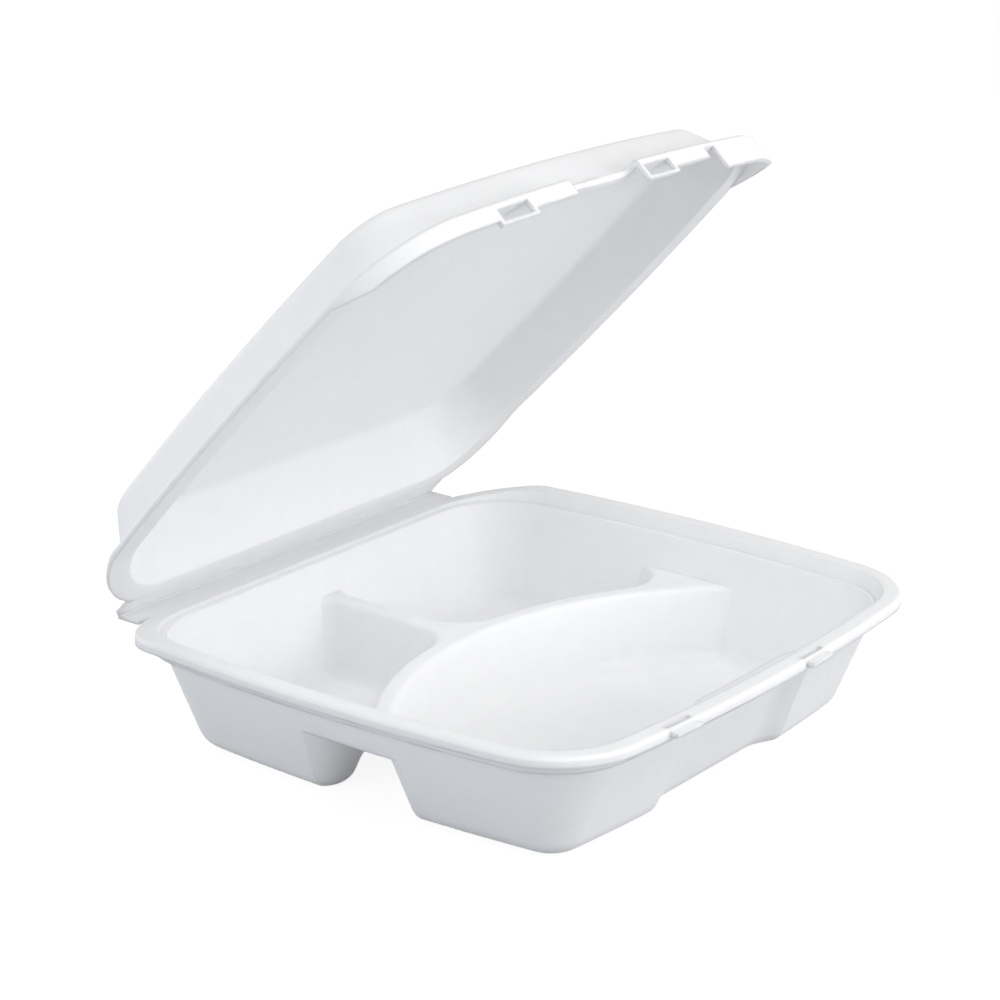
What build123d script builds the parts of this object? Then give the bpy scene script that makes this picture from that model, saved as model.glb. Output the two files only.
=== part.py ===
"""White foam clamshell food container: a three-compartment tray and its hinged lid, standing open."""

import math
import os

from build123d import *

# Overall sizes, in millimetres and degrees
width = 203.0
depth = 190.5
tray_height = 39.0
lid_height = 18.5
sheet = 2.2
open_angle = 47.0

# Rim outline: bowed sides and front, straight back
side_bow = 6.8
front_bow = 6.3
front_corner = 32.0
back_corner = 36.0

# Stepped rim: a raised flange at the front and sides, down to the hinge level at the back
rim_step = 4.5
flange = 7.5
ledge = 2.0
riser_draft = 20.0
riser_wall = 3.0
rim_edge = 3.2
rim_edge_wall = 1.6
hinge_flat = 8.0
ramp_length = 25.0
ramp_round = 30.0
rim_bevel = 0.9

# Tray walls and floor
wall_draft = 21.0
floor_round = 5.0
recess_half = 33.0
recess_run = 9.0
recess_depth = 4.5
recess_mouth_round = 20.0
recess_back_round = 8.0

# Dividers: an arc from side to side, and a straight one from it to the hinge wall
divider_drop = 15.0
divider_width = 6.0
divider_radius = 120.0
divider_apex = 20.5
crest_round = 2.2
pocket_corner = 15.0
hinge_corner = 6.0
pocket_margin = 1.0
foot_share = 0.8

# Lid
lid_draft = 28.0
lid_flange = 8.5
lid_round = 3.0
seat_gap = 0.3

# Lid's front lip: it dies away along the sides, hangs lowest at the right corner, and stops at the thumb notch
lip = 1.5
lip_gap = 0.4
lip_depth = 3.6
lip_side = 34.0
lip_fade = 26.0
ear_depth = 7.5
ear_gap = 5.5
latch_shift = 5.0
latch_length = 35.0
strip_depth = 3.2
catch_depth = 5.2
window_width = 13.0
window_frame = 1.5
window_bar = 1.1
window_top_room = 0.4
notch_width = 33.0
notch_depth = 5.6
notch_round = 3.0

# Tray's latch tongues, each with a slit behind it
tongue_room = 0.8
tongue_sheet = 1.3
tongue_drop = 0.7
tongue_reach = 0.5
slit_width = 1.6
slit_inset = 1.4

# Hinge fold
hinge_web = 4.7
hinge_half = 77.0
fold = 1.0
fold_gap = 0.15

# Levels and places that follow from the sizes
ledge_z = tray_height - rim_step
crest_z = tray_height - divider_drop
lid_top = tray_height + lid_height
lip_room = lip + lip_gap
wall_inset = lip_room + flange + ledge
wall_slope = math.tan(math.radians(wall_draft))
lid_slope = math.tan(math.radians(lid_draft))
hinge_y = depth / 2
hinge_z = ledge_z + seat_gap / 2
back_y = hinge_y - hinge_web
front_y = -depth / 2
corner_x = width / 2 - side_bow
corner_y = front_y + front_bow
middle_y = (corner_y + back_y) / 2
side_chord = (back_y - corner_y) / 2
front_radius = (corner_x**2 + front_bow**2) / (2 * front_bow)
side_radius = (side_chord**2 + side_bow**2) / (2 * side_bow)
pocket_inset = wall_inset + (ledge_z - crest_z) * wall_slope - pocket_margin
ramp_back = hinge_y - hinge_flat
ramp_front = ramp_back - ramp_length
arc_y = divider_apex - divider_radius
latch_places = [side * (notch_width + latch_length) / 2 - latch_shift for side in (-1, 1)]
catch_length = window_width + 2 * window_frame
window_places = [place - (latch_length - catch_length) / 2 for place in latch_places]
hinge_axis = Axis((0, hinge_y, hinge_z), (1, 0, 0))


def rim_outline(inset: float) -> Sketch:
    """Draw the bowed, round-cornered outline of the lid's rim, drawn in by an inset."""
    with BuildSketch() as outline:
        with Locations((0, front_y + front_radius)):
            Circle(front_radius - inset)
        with Locations((width / 2 - side_radius, middle_y)):
            Circle(side_radius - inset, mode=Mode.INTERSECT)
        with Locations((side_radius - width / 2, middle_y)):
            Circle(side_radius - inset, mode=Mode.INTERSECT)
        with Locations((0, back_y - inset - depth)):
            Rectangle(2 * width, 2 * depth, mode=Mode.INTERSECT)
        fillet(outline.vertices().group_by(Axis.Y)[0], front_corner - inset)
        fillet(outline.vertices().group_by(Axis.Y)[-1], back_corner - inset)
    return outline.sketch


def under_rim(drop: float) -> Part:
    """Fill the space below the rim surface, lowered by a drop: level, then a ramp down to the hinge."""
    top = tray_height - drop
    low = ledge_z - drop
    bottom = -tray_height
    with BuildPart() as space:
        with BuildSketch(Plane.YZ) as profile:
            with BuildLine():
                Polyline(
                    (-depth, bottom), (-depth, top), (ramp_front, top), (ramp_back, low),
                    (depth, low), (depth, bottom), close=True,
                )
            make_face()
            ramp_ends = profile.vertices().filter_by_position(Axis.X, ramp_front - 1, ramp_back + 1)
            fillet(ramp_ends, ramp_round)
        extrude(amount=width, both=True)
    return space.part


def tray_mouth(inset: float) -> Sketch:
    """Draw the tray's wall drawn in by an inset, with the shallow recess in the middle of its front."""
    wall_y = front_y + wall_inset
    flank = math.hypot(recess_run, recess_depth)
    shift_x = inset * recess_depth / flank
    shift_y = inset * recess_run / flank
    climb = (recess_depth + inset - shift_y) / recess_depth
    mouth_x = recess_half + shift_x + recess_run
    mouth_y = wall_y + shift_y - recess_depth
    back_x = recess_half + shift_x - recess_run * climb
    recess_y = wall_y + recess_depth + inset
    with BuildSketch() as mouth:
        add(rim_outline(wall_inset + inset))
        with BuildLine():
            Polyline(
                (-mouth_x, mouth_y), (-back_x, recess_y), (back_x, recess_y), (mouth_x, mouth_y), close=True
            )
        make_face(mode=Mode.SUBTRACT)
        corners = mouth.vertices().filter_by_position(Axis.X, -mouth_x, mouth_x)
        corners = corners.filter_by_position(Axis.Y, mouth_y, recess_y + 1)
        fillet(corners.group_by(Axis.Y)[-1], recess_back_round + inset)
        fillet(corners.group_by(Axis.Y)[0], recess_mouth_round - inset)
    return mouth.sketch


def drafted(outline: Sketch, start: float, end: float, angle: float) -> Part:
    """Raise or sink an outline from one level to another, with walls that lean in along +Z by an angle."""
    with BuildPart() as block:
        with BuildSketch(Plane.XY.offset(start)):
            add(outline)
        extrude(amount=end - start)
        draft(block.faces().filter_by(Axis.Z, reverse=True), Plane.XY.offset(start), angle)
    return block.part


def arc_corners(pocket: BuildSketch, reach: float) -> ShapeList:
    """Find a compartment's corners that lie on the curved divider's edge."""
    return pocket.vertices().filter_by(
        lambda corner: abs(math.dist((corner.X, corner.Y), (0, arc_y)) - reach) < sheet / 100
    )


def large_pocket(inset: float) -> Sketch:
    """Draw the large compartment at the dividers' crest, drawn in by an inset."""
    reach = divider_radius - divider_width / 2 - inset
    with BuildSketch() as pocket:
        add(rim_outline(pocket_inset + inset))
        with Locations((0, arc_y)):
            Circle(reach, mode=Mode.INTERSECT)
        fillet(arc_corners(pocket, reach), pocket_corner - inset)
    return pocket.sketch


def small_pocket(inset: float) -> Sketch:
    """Draw the small compartment at the right, sharp where the straight divider meets the hinge wall."""
    reach = divider_radius + divider_width / 2 + inset
    side_x = divider_width / 2 + inset
    with BuildSketch() as pocket:
        add(rim_outline(pocket_inset + inset))
        with Locations((0, arc_y)):
            Circle(reach, mode=Mode.SUBTRACT)
        with Locations((side_x + width, 0)):
            Rectangle(2 * width, 2 * depth, mode=Mode.INTERSECT)
        fillet(arc_corners(pocket, reach), pocket_corner - inset)
    return pocket.sketch


def divider_ridge(grow: float) -> Part:
    """Make the ridge that parts the compartments, as the tray's upper face has it, or its underside."""
    top = crest_z - grow
    bottom = sheet - grow
    inset = -grow * (1 - math.sin(math.radians(wall_draft))) / math.cos(math.radians(wall_draft))
    floor_inset = inset + (top - bottom) * wall_slope
    foot = min(floor_round + grow, foot_share * (pocket_corner - floor_inset))
    hinge_foot = (divider_width / 2 + inset, back_y - pocket_inset - inset, (top + bottom) / 2)
    with BuildPart() as front_pocket:
        add(drafted(large_pocket(inset), top, bottom, -wall_draft))
        fillet(front_pocket.edges().group_by(Axis.Z)[0], foot)
    with BuildPart() as right_pocket:
        add(drafted(small_pocket(inset), top, bottom, -wall_draft))
        slanted = right_pocket.edges().filter_by(lambda edge: edge.bounding_box().size.Z > floor_round)
        fillet(slanted.sort_by_distance(hinge_foot)[0], hinge_corner + grow)
        fillet(right_pocket.edges().group_by(Axis.Z)[0], min(foot, foot_share * (hinge_corner + grow)))
    with BuildPart() as ridge:
        with BuildSketch(Plane.XY.offset(bottom)):
            Rectangle(2 * width, 2 * depth)
        extrude(amount=top - bottom)
        add(front_pocket.part, mode=Mode.SUBTRACT)
        add(right_pocket.part, mode=Mode.SUBTRACT)
        add(mirror(right_pocket.part, about=Plane.YZ, mode=Mode.PRIVATE), mode=Mode.SUBTRACT)
        if crest_round > grow:
            crest = ridge.faces().sort_by(Axis.Z)[-1]
            fillet([edge for wire in crest.inner_wires() for edge in wire.edges()], crest_round - grow)
    return ridge.part


def tray_form(grow: float) -> Part:
    """Make the form that the sheet is pressed over: its inside, or with a sheet's growth its outside."""
    bottom = sheet - grow
    inset = -grow / math.cos(math.radians(wall_draft))
    floor_inset = inset + (ledge_z - bottom) * wall_slope
    foot = min(floor_round + grow, foot_share * (recess_mouth_round - floor_inset))
    with BuildPart() as form:
        with BuildSketch(Plane.XY.offset(ledge_z)):
            add(tray_mouth(inset))
        with BuildSketch(Plane.XY.offset(bottom)):
            add(tray_mouth(floor_inset))
        loft(ruled=True)
        fillet(form.edges().group_by(Axis.Z)[0], foot)
        add(divider_ridge(grow), mode=Mode.SUBTRACT)
    return form.part


def lid_form(grow: float) -> Part:
    """Make the lid's inside, or with a sheet's growth its outside, from the hinge level to its top."""
    inset = lid_flange - rim_step * lid_slope - grow / math.cos(math.radians(lid_draft))
    with BuildPart() as form:
        add(drafted(rim_outline(inset), ledge_z, lid_top - sheet + grow, lid_draft))
        fillet(form.edges().group_by(Axis.Z)[-1], lid_round + grow)
    return form.part


def rim_slab(inset: float, low: float, drop: float) -> Part:
    """Make the rim as a slab with a bevelled edge, from a level up to the rim surface lowered by a drop."""
    with BuildPart() as slab:
        with BuildSketch(Plane.XY.offset(low)):
            add(rim_outline(inset))
        extrude(amount=tray_height - low - drop)
        add(under_rim(drop), mode=Mode.INTERSECT)
        upper = slab.faces().filter_by(lambda face: face.normal_at().Z > 0.5)
        walls = slab.faces().filter_by(lambda face: abs(face.normal_at().Z) < 0.1)
        wall_edges = walls.edges()
        chamfer([edge for edge in upper.edges() if edge in wall_edges], rim_bevel)
    return slab.part


def edge_strip(outer: float, inner: float, left: float, right: float) -> Sketch:
    """Draw a strip of the rim's front edge between two insets, from one place along the front to another."""
    with BuildSketch() as strip:
        add(rim_outline(outer))
        add(rim_outline(inner), mode=Mode.SUBTRACT)
        with Locations(((left + right) / 2, front_y)):
            Rectangle(right - left, 2 * lip_side, mode=Mode.INTERSECT)
    return strip.sketch


# Room under the tray's flange, inside its turned-down edge
with BuildPart() as edge_room:
    with BuildSketch(Plane.XY.offset(ledge_z - 2 * sheet)):
        add(rim_outline(0))
        add(rim_outline(lip_room + flange - riser_wall), mode=Mode.SUBTRACT)
    extrude(amount=rim_step + 2 * sheet)
    add(under_rim(rim_edge), mode=Mode.INTERSECT)
with BuildPart() as flange_room:
    with BuildSketch(Plane.XY.offset(ledge_z - 2 * sheet)):
        add(rim_outline(lip_room + rim_edge_wall))
        add(rim_outline(lip_room + flange - riser_wall), mode=Mode.SUBTRACT)
    extrude(amount=rim_step + 2 * sheet)
    add(under_rim(sheet), mode=Mode.INTERSECT)

# Tray: the rim, the pressed sheet, its hinge leaf and its latch tongues
with BuildPart() as tray:
    add(rim_slab(lip_room, ledge_z - sheet, 0))
    add(edge_room.part, mode=Mode.SUBTRACT)
    add(flange_room.part, mode=Mode.SUBTRACT)
    add(tray_form(sheet))
    riser = drafted(rim_outline(lip_room + flange), ledge_z, tray_height + sheet, -riser_draft)
    add(riser, mode=Mode.SUBTRACT)
    add(tray_form(0), mode=Mode.SUBTRACT)
    leaf_start = back_y - lip_room - 2 * rim_bevel
    leaf_end = hinge_y - fold_gap
    with BuildSketch(Plane.XY.offset(ledge_z)):
        with Locations((0, (leaf_start + leaf_end) / 2)):
            Rectangle(2 * hinge_half, leaf_end - leaf_start)
    extrude(amount=-fold)
    for place in window_places:
        left = place - window_width / 2 + tongue_room
        right = place + window_width / 2 - tongue_room
        slit_start = lip_room + slit_inset
        with BuildSketch(Plane.XY.offset(tray_height - tongue_drop)):
            add(edge_strip(-tongue_reach, slit_start, left, right))
        extrude(amount=-tongue_sheet)
        with BuildSketch(Plane.XY.offset(tray_height)):
            add(edge_strip(slit_start, slit_start + slit_width, left, right))
        extrude(amount=-rim_edge, mode=Mode.SUBTRACT)

# Lip at the lid's front: the left corner, two latches with a window and a strip each, and the right ear
lip_top = tray_height + seat_gap + sheet / 2
window_low = tray_height - catch_depth + window_bar
window_top = tray_height + seat_gap - window_top_room
latch_ends = [(place - latch_length / 2, place + latch_length / 2) for place in latch_places]
catch_ends = [(place - catch_length / 2, place + catch_length / 2) for place in window_places]
lip_runs = [(-width, latch_ends[0][0], lip_depth), (latch_ends[1][1] + ear_gap, width, ear_depth)]
lip_runs += [(left, right, strip_depth) for left, right in latch_ends]
lip_runs += [(left, right, catch_depth) for left, right in catch_ends]
with BuildPart() as front_lip:
    for left, right, drop in lip_runs:
        with BuildSketch(Plane.XY.offset(lip_top)):
            add(edge_strip(0, lip, left, right))
        extrude(amount=tray_height - drop - lip_top)
    with BuildSketch(Plane.YZ):
        with BuildLine():
            Polyline(
                (front_y + lip_side - lip_fade, tray_height - ear_depth),
                (front_y + lip_side, tray_height),
                (front_y + lip_side, tray_height - ear_depth),
                close=True,
            )
        make_face()
    extrude(amount=width, both=True, mode=Mode.SUBTRACT)
    for left, right in catch_ends:
        with BuildSketch(Plane.XY.offset(window_low)):
            add(edge_strip(0, lip, left + window_frame, right - window_frame))
        extrude(amount=window_top - window_low, mode=Mode.SUBTRACT)

# Lid, made shut and then turned open about the hinge fold
with BuildPart() as lid:
    add(rim_slab(0, ledge_z, -seat_gap - sheet))
    add(lid_form(sheet))
    add(under_rim(-seat_gap), mode=Mode.SUBTRACT)
    add(lid_form(0), mode=Mode.SUBTRACT)
    with BuildSketch(Plane.XY.offset(tray_height)):
        with Locations((-latch_shift, front_y)):
            RectangleRounded(notch_width, 2 * notch_depth, notch_round)
    extrude(amount=seat_gap + 2 * sheet, mode=Mode.SUBTRACT)
    add(front_lip.part)
    lid_leaf_start = back_y - 2 * rim_bevel
    with BuildSketch(Plane.XY.offset(ledge_z + seat_gap)):
        with Locations((0, (lid_leaf_start + leaf_end) / 2)):
            Rectangle(2 * hinge_half, leaf_end - lid_leaf_start)
    extrude(amount=fold)

lid.part = lid.part.rotate(hinge_axis, -open_angle)
tray.part.label = "tray"
lid.part.label = "lid"

os.makedirs("parts", exist_ok=True)
export_step(tray.part, "parts/tray.step")
export_step(lid.part, "parts/lid.step")
print("tray", round(tray.part.volume), "mm3, lid", round(lid.part.volume), "mm3")
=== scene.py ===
"""Foam clamshell container, standing open: finishes, hinge fold, studio and camera."""

import logging
import math
from dataclasses import dataclass, field
from enum import Enum

import bmesh
import bpy
from mathutils import Matrix, Vector


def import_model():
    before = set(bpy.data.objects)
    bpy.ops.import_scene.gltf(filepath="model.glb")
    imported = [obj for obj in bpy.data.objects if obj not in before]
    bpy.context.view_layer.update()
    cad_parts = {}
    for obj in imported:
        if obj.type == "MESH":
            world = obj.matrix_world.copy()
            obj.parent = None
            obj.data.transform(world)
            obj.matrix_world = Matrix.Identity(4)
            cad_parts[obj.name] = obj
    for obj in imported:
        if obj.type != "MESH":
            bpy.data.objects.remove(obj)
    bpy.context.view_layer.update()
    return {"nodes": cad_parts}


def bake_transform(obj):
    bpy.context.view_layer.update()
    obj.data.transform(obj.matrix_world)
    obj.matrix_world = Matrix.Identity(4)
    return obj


LOG = logging.getLogger("clamshell")
FOAM_IOR = 1.45
FOAM_SPECULAR = 0.38
MOTTLE_DETAIL = 4.0
MOTTLE_ROUGHNESS = 0.6
MOTTLE_SPREAD = (0.3, 0.7)
RIPPLE_SCALE = 42.0
RIPPLE_DETAIL = 1.0
SOFTEN_SAMPLES = 3
LAMP_AIM = Vector((0.0, 0.0, 0.05))
WHITE = (1.0, 1.0, 1.0, 1.0)


class Shell(Enum):
    """The two stiff halves of the pressed sheet."""

    TRAY = "tray"
    LID = "lid"


@dataclass(frozen=True)
class FoamFinish:
    """One look of the foam sheet: its colours, gloss and skin."""

    name: str
    pale: tuple[float, float, float]
    shade: tuple[float, float, float]
    roughness_low: float
    roughness_high: float
    cell_size: float
    cell_depth: float
    mottle_size: float
    ripple_depth: float
    edge_round: float
    scatter: float
    scatter_depth: float

    def material(self) -> bpy.types.Material:
        """Build the material for this finish.

        Returns:
            A material whose colour, gloss and normals vary over the skin.
        """
        made = bpy.data.materials.new(self.name)
        made.use_nodes = True
        nodes, links = made.node_tree.nodes, made.node_tree.links
        shader = nodes["Principled BSDF"]
        shader.inputs["IOR"].default_value = FOAM_IOR
        shader.inputs["Specular IOR Level"].default_value = FOAM_SPECULAR
        shader.inputs["Subsurface Weight"].default_value = self.scatter
        shader.inputs["Subsurface Radius"].default_value = (1.0, 1.0, 1.0)
        shader.inputs["Subsurface Scale"].default_value = self.scatter_depth
        place = nodes.new("ShaderNodeTexCoord")
        skin = nodes.new("ShaderNodeGroup")
        skin.node_tree = foam_skin_group()
        skin.inputs["Pale"].default_value = (*self.pale, 1.0)
        skin.inputs["Shade"].default_value = (*self.shade, 1.0)
        skin.inputs["Roughness low"].default_value = self.roughness_low
        skin.inputs["Roughness high"].default_value = self.roughness_high
        skin.inputs["Cell scale"].default_value = 1.0 / self.cell_size
        skin.inputs["Mottle scale"].default_value = 1.0 / self.mottle_size
        links.new(place.outputs["Object"], skin.inputs["Place"])
        links.new(skin.outputs["Colour"], shader.inputs["Base Color"])
        links.new(skin.outputs["Roughness"], shader.inputs["Roughness"])
        soften = nodes.new("ShaderNodeBevel")
        soften.samples = SOFTEN_SAMPLES
        soften.inputs["Radius"].default_value = self.edge_round
        ripple = nodes.new("ShaderNodeBump")
        ripple.inputs["Strength"].default_value = 1.0
        ripple.inputs["Distance"].default_value = self.ripple_depth
        links.new(skin.outputs["Ripple"], ripple.inputs["Height"])
        links.new(soften.outputs["Normal"], ripple.inputs["Normal"])
        cells = nodes.new("ShaderNodeBump")
        cells.inputs["Strength"].default_value = 1.0
        cells.inputs["Distance"].default_value = self.cell_depth
        links.new(skin.outputs["Cells"], cells.inputs["Height"])
        links.new(ripple.outputs["Normal"], cells.inputs["Normal"])
        links.new(cells.outputs["Normal"], shader.inputs["Normal"])
        return made


def foam_skin_group() -> bpy.types.ShaderNodeTree:
    """Give the shared foam skin: mottled colour, uneven gloss, closed cells and slow ripples.

    Returns:
        The node group, built on its first use.
    """
    known = bpy.data.node_groups.get("foam_skin")
    if known:
        return known
    group = bpy.data.node_groups.new("foam_skin", "ShaderNodeTree")
    face = group.interface
    for name, kind in (
        ("Place", "NodeSocketVector"),
        ("Pale", "NodeSocketColor"),
        ("Shade", "NodeSocketColor"),
        ("Roughness low", "NodeSocketFloat"),
        ("Roughness high", "NodeSocketFloat"),
        ("Cell scale", "NodeSocketFloat"),
        ("Mottle scale", "NodeSocketFloat"),
    ):
        face.new_socket(name, in_out="INPUT", socket_type=kind)
    for name, kind in (
        ("Colour", "NodeSocketColor"),
        ("Roughness", "NodeSocketFloat"),
        ("Cells", "NodeSocketFloat"),
        ("Ripple", "NodeSocketFloat"),
    ):
        face.new_socket(name, in_out="OUTPUT", socket_type=kind)
    nodes, links = group.nodes, group.links
    given = nodes.new("NodeGroupInput")
    result = nodes.new("NodeGroupOutput")
    mottle = nodes.new("ShaderNodeTexNoise")
    mottle.inputs["Detail"].default_value = MOTTLE_DETAIL
    mottle.inputs["Roughness"].default_value = MOTTLE_ROUGHNESS
    links.new(given.outputs["Place"], mottle.inputs["Vector"])
    links.new(given.outputs["Mottle scale"], mottle.inputs["Scale"])
    cells = nodes.new("ShaderNodeTexVoronoi")
    cells.feature = "F1"
    links.new(given.outputs["Place"], cells.inputs["Vector"])
    links.new(given.outputs["Cell scale"], cells.inputs["Scale"])
    ripple = nodes.new("ShaderNodeTexNoise")
    ripple.inputs["Scale"].default_value = RIPPLE_SCALE
    ripple.inputs["Detail"].default_value = RIPPLE_DETAIL
    links.new(given.outputs["Place"], ripple.inputs["Vector"])
    weigh = nodes.new("ShaderNodeMapRange")
    weigh.inputs["From Min"].default_value, weigh.inputs["From Max"].default_value = MOTTLE_SPREAD
    links.new(mottle.outputs["Fac"], weigh.inputs["Value"])
    tint = nodes.new("ShaderNodeMix")
    tint.data_type = "RGBA"
    links.new(weigh.outputs["Result"], tint.inputs["Factor"])
    links.new(given.outputs["Shade"], tint.inputs["A"])
    links.new(given.outputs["Pale"], tint.inputs["B"])
    gloss = nodes.new("ShaderNodeMapRange")
    links.new(mottle.outputs["Fac"], gloss.inputs["Value"])
    links.new(given.outputs["Roughness low"], gloss.inputs["To Min"])
    links.new(given.outputs["Roughness high"], gloss.inputs["To Max"])
    links.new(tint.outputs["Result"], result.inputs["Colour"])
    links.new(gloss.outputs["Result"], result.inputs["Roughness"])
    links.new(cells.outputs["Distance"], result.inputs["Cells"])
    links.new(ripple.outputs["Fac"], result.inputs["Ripple"])
    return group


SHEET_FOAM = FoamFinish(
    name="formed_foam_sheet",
    pale=(0.888, 0.888, 0.889),
    shade=(0.869, 0.87, 0.875),
    roughness_low=0.42,
    roughness_high=0.58,
    cell_size=0.0011,
    cell_depth=0.00002,
    mottle_size=0.006,
    ripple_depth=0.00025,
    edge_round=0.0011,
    scatter=0.7,
    scatter_depth=0.0025,
)
PRESSED_FOAM = FoamFinish(
    name="pressed_foam_fold",
    pale=(0.902, 0.901, 0.902),
    shade=(0.88, 0.879, 0.884),
    roughness_low=0.34,
    roughness_high=0.48,
    cell_size=0.0007,
    cell_depth=0.00001,
    mottle_size=0.004,
    ripple_depth=0.00012,
    edge_round=0.0003,
    scatter=0.6,
    scatter_depth=0.0012,
)


@dataclass
class HingeFold:
    """The thin pressed strip that turns round the hinge line, from the tray's leaf to the lid's."""

    half_length: float = 0.0765
    axis_y: float = 0.09525
    axis_z: float = 0.03465
    turn_radius: float = 0.00065
    sheet: float = 0.0007
    tail: float = 0.0016
    bend_reach: float = 0.0004
    open_angle: float = math.radians(47.0)
    steps: int = 14
    cuts: int = 24

    def build(self) -> bpy.types.Object:
        """Spin the strip round the hinge line and give it its thickness.

        Returns:
            The strip's object, bending between the two shells.
        """
        shape = bmesh.new()
        centre = Vector((0.0, self.axis_y, self.axis_z))
        low = centre + Vector((0.0, 0.0, -self.turn_radius))
        ends = [shape.verts.new(low + Vector((side * self.half_length, 0, 0))) for side in (-1, 1)]
        line = shape.edges.new(ends)
        bmesh.ops.subdivide_edges(shape, edges=[line], cuts=self.cuts)
        first = list(shape.edges)
        turn = math.pi - self.open_angle
        spun = bmesh.ops.spin(
            shape,
            geom=list(shape.verts) + first,
            cent=centre,
            axis=(1, 0, 0),
            angle=turn,
            steps=self.steps,
        )
        last = [item for item in spun["geom_last"] if isinstance(item, bmesh.types.BMEdge)]
        along_lid = Vector((0.0, -math.cos(self.open_angle), math.sin(self.open_angle)))
        for edges, way in ((first, Vector((0.0, -1.0, 0.0))), (last, along_lid)):
            run = bmesh.ops.extrude_edge_only(shape, edges=edges)
            moved = [item for item in run["geom"] if isinstance(item, bmesh.types.BMVert)]
            bmesh.ops.translate(shape, verts=moved, vec=way * self.tail)
        bmesh.ops.recalc_face_normals(shape, faces=shape.faces)
        bmesh.ops.solidify(shape, geom=shape.faces, thickness=self.sheet)
        mesh = bpy.data.meshes.new("hinge_fold")
        shape.to_mesh(mesh)
        shape.free()
        piece = bpy.data.objects.new("hinge_fold", mesh)
        bpy.context.collection.objects.link(piece)
        for face in mesh.polygons:
            face.use_smooth = True
        mesh.materials.append(PRESSED_FOAM.material())
        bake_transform(piece)
        return piece


@dataclass
class Clamshell:
    """The tray and the lid as the frame gives them, dressed in foam."""

    nodes: dict[str, bpy.types.Object]
    finish: FoamFinish = SHEET_FOAM
    fold: HingeFold = field(default_factory=HingeFold)

    def dress(self) -> list[bpy.types.Object]:
        """Give both shells their finish and join them with the fold.

        Returns:
            The shown pieces.
        """
        foam = self.finish.material()
        shown = []
        for shell in Shell:
            node = self.nodes[shell.value]
            node.data.materials.clear()
            node.data.materials.append(foam)
            shown.append(node)
        shown.append(self.fold.build())
        return shown


@dataclass(frozen=True)
class Softbox:
    """One square softbox that faces the container."""

    name: str
    place: tuple[float, float, float]
    size: float
    energy: float
    colour: tuple[float, float, float]

    def hang(self) -> bpy.types.Object:
        """Hang the softbox in its place.

        Returns:
            The lamp's object.
        """
        light = bpy.data.lights.new(self.name, "AREA")
        light.energy = self.energy
        light.size = self.size
        light.color = self.colour
        lamp = bpy.data.objects.new(self.name, light)
        lamp.location = self.place
        aim = LAMP_AIM - Vector(self.place)
        lamp.rotation_mode = "QUATERNION"
        lamp.rotation_quaternion = aim.to_track_quat("-Z", "Y")
        lamp.visible_camera = False
        bpy.context.collection.objects.link(lamp)
        return lamp


KEY_SOFTBOX = Softbox("key_softbox", (0.1, -0.72, 1.15), 0.7, 6.6, (1.0, 0.996, 0.988))
FRONT_SOFTBOX = Softbox("front_softbox", (0.3, -1.1, 0.25), 0.7, 6.8, (0.975, 0.985, 1.0))
LEFT_SOFTBOX = Softbox("left_softbox", (-1.1, 0.1, 0.35), 0.8, 4.4, (0.91, 0.96, 1.0))
BACK_SOFTBOX = Softbox("back_softbox", (0.0, 1.188, 0.167), 0.5, 2.9, (1.0, 0.998, 0.995))


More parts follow.
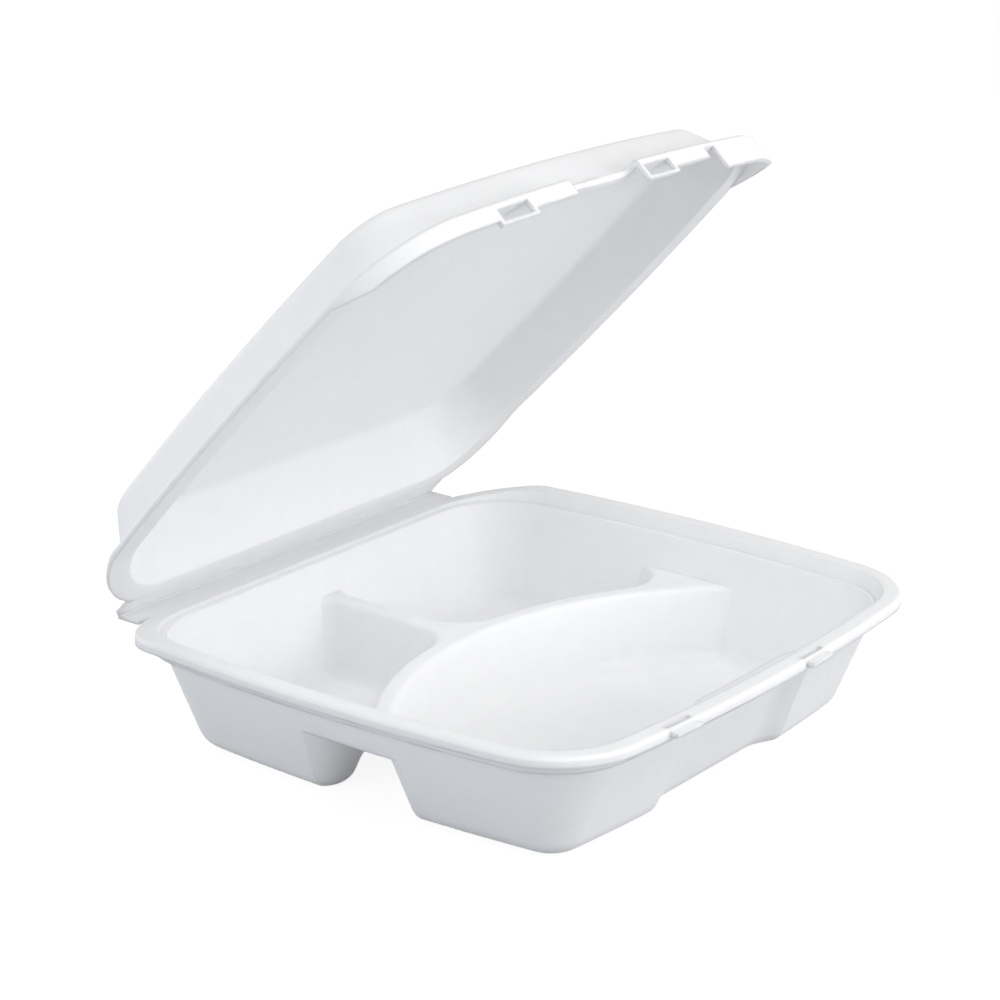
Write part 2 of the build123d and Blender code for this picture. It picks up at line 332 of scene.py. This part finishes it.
@dataclass
class Studio:
    """A pale floor, an evenly lit room and four softboxes."""

    softboxes: tuple[Softbox, ...] = (KEY_SOFTBOX, FRONT_SOFTBOX, LEFT_SOFTBOX, BACK_SOFTBOX)
    floor_size: float = 6.0
    floor_glow: float = 0.9
    floor_shade: tuple[float, ...] = (0.2, 0.2, 0.2, 1.0)
    floor_bounce: tuple[float, ...] = (0.42, 0.432, 0.455, 1.0)
    room_strength: float = 0.46
    room_colour: tuple[float, ...] = (0.992, 0.992, 1.0, 1.0)

    def build(self) -> None:
        """Make the floor, the softboxes and the room."""
        self.floor()
        for softbox in self.softboxes:
            softbox.hang()
        self.surroundings()

    def floor(self) -> bpy.types.Object:
        """Lay the floor, white to the camera and with the object's faint shadow.

        Returns:
            The floor's object.
        """
        shape = bmesh.new()
        bmesh.ops.create_grid(shape, x_segments=1, y_segments=1, size=self.floor_size / 2)
        mesh = bpy.data.meshes.new("floor")
        shape.to_mesh(mesh)
        shape.free()
        floor = bpy.data.objects.new("floor", mesh)
        bpy.context.collection.objects.link(floor)
        paper = bpy.data.materials.new("floor_paper")
        paper.use_nodes = True
        nodes, links = paper.node_tree.nodes, paper.node_tree.links
        nodes.remove(nodes["Principled BSDF"])
        shade = nodes.new("ShaderNodeBsdfDiffuse")
        shade.inputs["Color"].default_value = self.floor_shade
        glow = nodes.new("ShaderNodeEmission")
        glow.inputs["Strength"].default_value = self.floor_glow
        seen = nodes.new("ShaderNodeAddShader")
        links.new(shade.outputs["BSDF"], seen.inputs[0])
        links.new(glow.outputs["Emission"], seen.inputs[1])
        bounce = nodes.new("ShaderNodeBsdfDiffuse")
        bounce.inputs["Color"].default_value = self.floor_bounce
        path = nodes.new("ShaderNodeLightPath")
        either = nodes.new("ShaderNodeMath")
        either.operation = "MAXIMUM"
        links.new(path.outputs["Is Camera Ray"], either.inputs[0])
        links.new(path.outputs["Is Glossy Ray"], either.inputs[1])
        choose = nodes.new("ShaderNodeMixShader")
        links.new(either.outputs["Value"], choose.inputs["Fac"])
        links.new(bounce.outputs["BSDF"], choose.inputs[1])
        links.new(seen.outputs["Shader"], choose.inputs[2])
        links.new(choose.outputs["Shader"], nodes["Material Output"].inputs["Surface"])
        mesh.materials.append(paper)
        return floor

    def surroundings(self) -> None:
        """Fill the room with even soft light, and show it white."""
        world = bpy.data.worlds.new("studio")
        bpy.context.scene.world = world
        world.use_nodes = True
        nodes, links = world.node_tree.nodes, world.node_tree.links
        room = nodes["Background"]
        room.inputs["Color"].default_value = self.room_colour
        room.inputs["Strength"].default_value = self.room_strength
        white = nodes.new("ShaderNodeBackground")
        white.inputs["Color"].default_value = WHITE
        path = nodes.new("ShaderNodeLightPath")
        choose = nodes.new("ShaderNodeMixShader")
        links.new(path.outputs["Is Camera Ray"], choose.inputs["Fac"])
        links.new(room.outputs["Background"], choose.inputs[1])
        links.new(white.outputs["Background"], choose.inputs[2])
        links.new(choose.outputs["Shader"], nodes["World Output"].inputs["Surface"])


@dataclass
class ViewCamera:
    """The camera at the photograph's viewing angle, for a square frame."""

    unit: float = 0.203
    rim_height: float = 0.039
    focal: float = 2.994
    azimuth: float = math.radians(-53.27)
    elevation: float = math.radians(18.57)
    roll: float = math.radians(0.79)
    distance: float = 4.4275
    aim_height: float = 0.2
    slide: float = -0.0343
    lift: float = -0.0369
    sensor: float = 36.0

    def build(self) -> bpy.types.Object:
        """Place the camera and make it the scene's own.

        Returns:
            The camera's object.
        """
        flat = math.cos(self.elevation)
        back = Vector(
            (math.sin(self.azimuth) * flat, -math.cos(self.azimuth) * flat, math.sin(self.elevation))
        )
        right = Vector((math.cos(self.azimuth), math.sin(self.azimuth), 0.0))
        up = back.cross(right)
        cosine, sine = math.cos(self.roll), math.sin(self.roll)
        level, upright = cosine * right + sine * up, cosine * up - sine * right
        place = back * self.distance + Vector((0.0, 0.0, self.aim_height))
        place = (place + level * self.slide + upright * self.lift) * self.unit
        place.z += self.rim_height
        data = bpy.data.cameras.new("view_camera")
        data.sensor_width = self.sensor
        data.lens = self.focal * self.sensor
        camera = bpy.data.objects.new("view_camera", data)
        turned = Matrix((level, upright, back)).transposed().to_4x4()
        camera.matrix_world = Matrix.Translation(place) @ turned
        bpy.context.collection.objects.link(camera)
        bpy.context.scene.camera = camera
        return camera


def main() -> None:
    """Build the container's looks round its frame."""
    logging.basicConfig(level=logging.INFO, format="%(name)s: %(message)s")
    bpy.context.scene.view_settings.view_transform = "Standard"
    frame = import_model()
    for piece in Clamshell(frame["nodes"]).dress():
        LOG.info("dressed %s with %d faces", piece.name, len(piece.data.polygons))
    Studio().build()
    ViewCamera().build()


if __name__ == "__main__":
    main()
